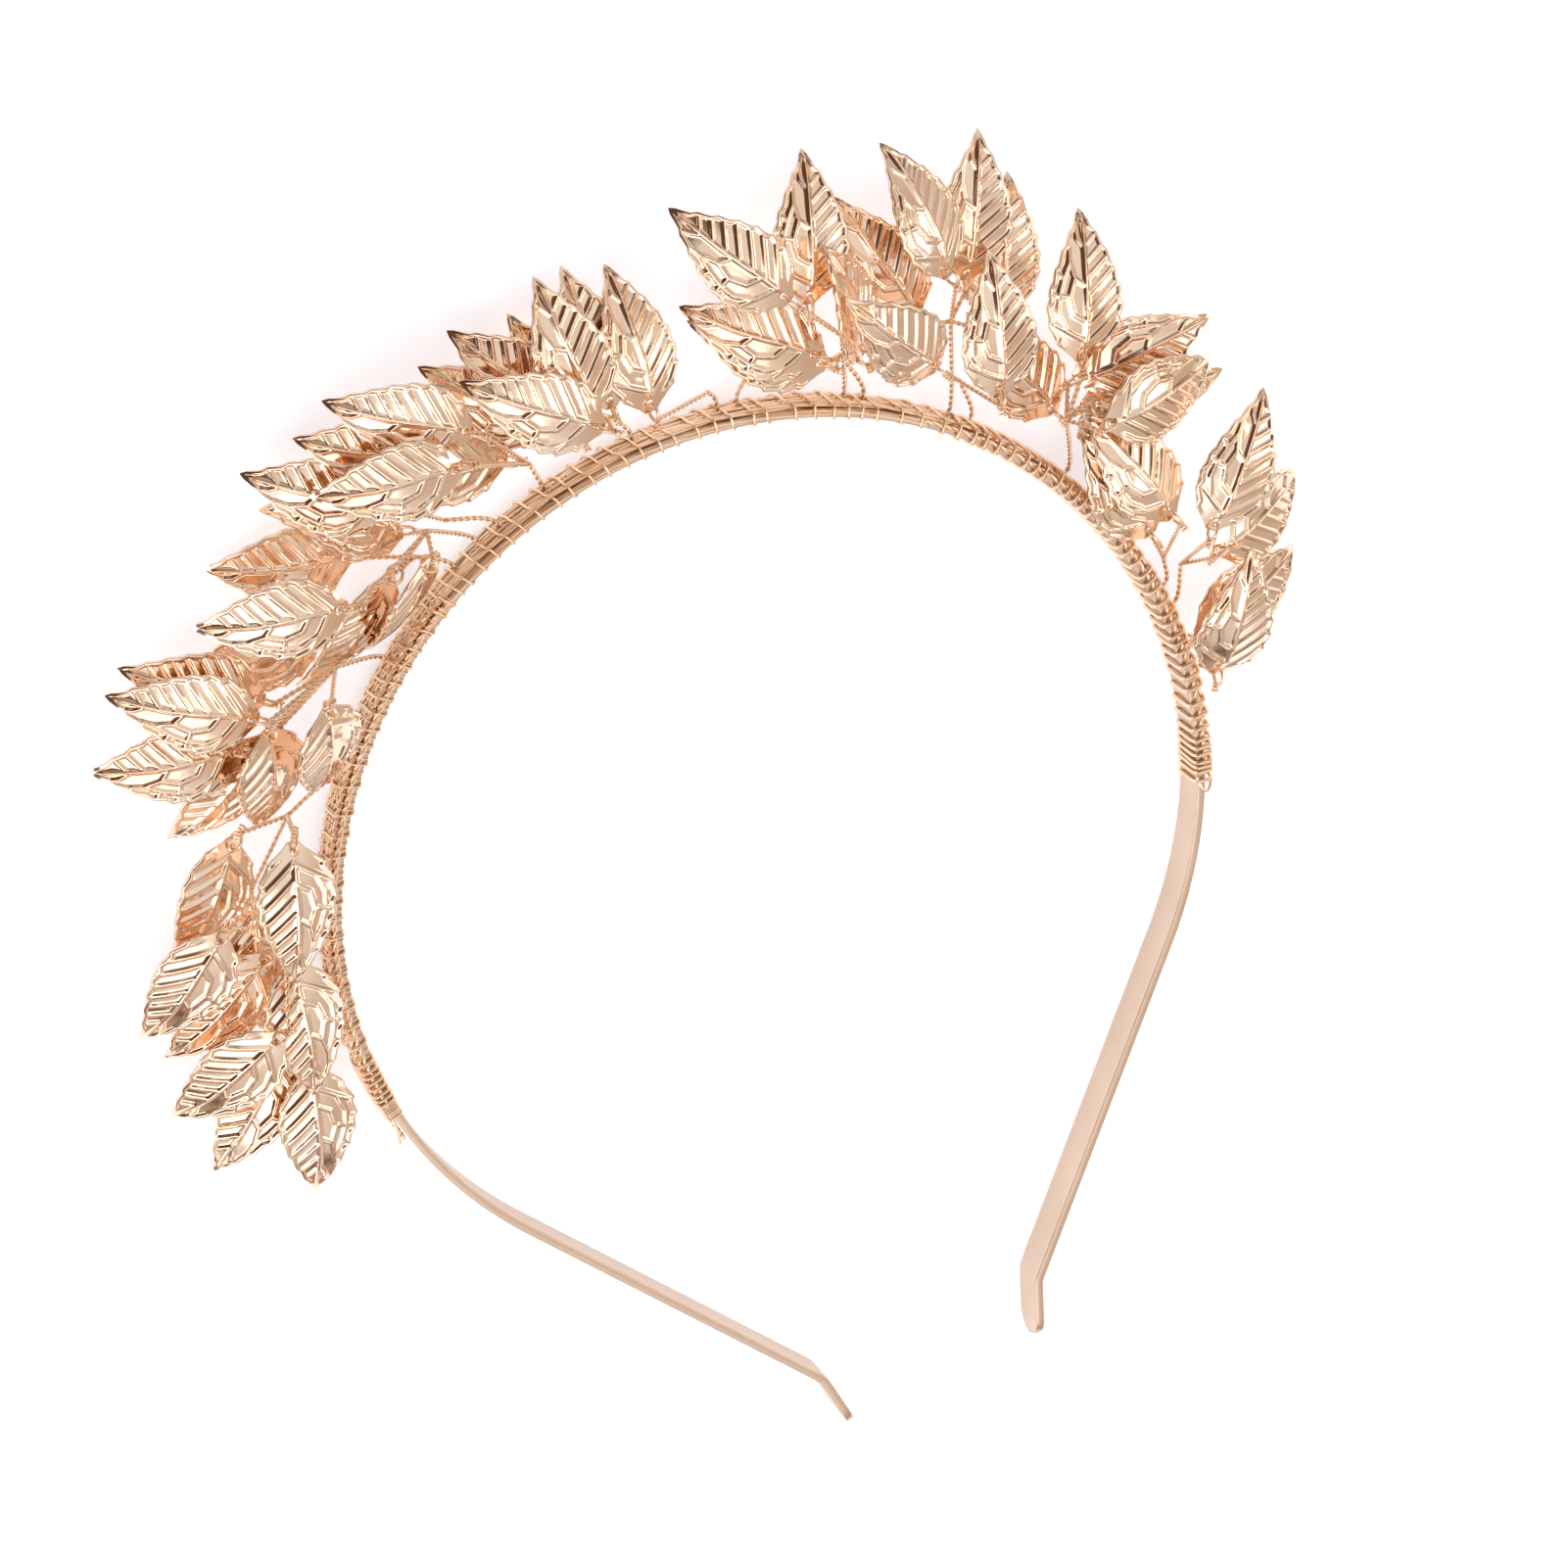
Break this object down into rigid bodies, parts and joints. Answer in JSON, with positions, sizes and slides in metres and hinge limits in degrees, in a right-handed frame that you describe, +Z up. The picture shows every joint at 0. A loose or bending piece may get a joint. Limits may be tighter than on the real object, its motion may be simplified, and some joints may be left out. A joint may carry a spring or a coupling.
{
  "type": "leaf crown",
  "caption": "Springy gold-coloured metal headband whose arch is bound with fine wire and carries sprays of stamped, veined metal leaves on twisted wire stems.",
  "frame": {"origin": "middle of the bounding box in X and Y, on the plane that the lying crown rests on", "axes": "+X across the head towards the wearer's left, +Y from the ear ends towards the top of the arch, +Z up from the table, which is towards the wearer's front when worn"},
  "size_m": [0.1768, 0.182, 0.0186],
  "materials": {
    "band_metal": "satin, plated a pale rose gold colour over spring steel",
    "wire_metal": "bright drawn wire, copper-gold colour",
    "leaf_metal": "polished stamped sheet, warm gold colour"
  },
  "bodies": {
    "root": {"band": "band_metal", "binding": "wire_metal", "stem_a": "wire_metal", "stem_b": "wire_metal", "stem_c": "wire_metal", "stem_d": "wire_metal", "stem_e": "wire_metal", "stem_f": "wire_metal", "stem_g": "wire_metal", "stem_h": "wire_metal", "stem_i": "wire_metal", "leaves_a": "leaf_metal", "leaves_b": "leaf_metal", "leaves_c": "leaf_metal", "leaves_d": "leaf_metal", "leaves_e": "leaf_metal", "leaves_f": "leaf_metal", "leaves_g": "leaf_metal", "leaves_h": "leaf_metal", "leaves_i": "leaf_metal"}
  },
  "joints": []
}
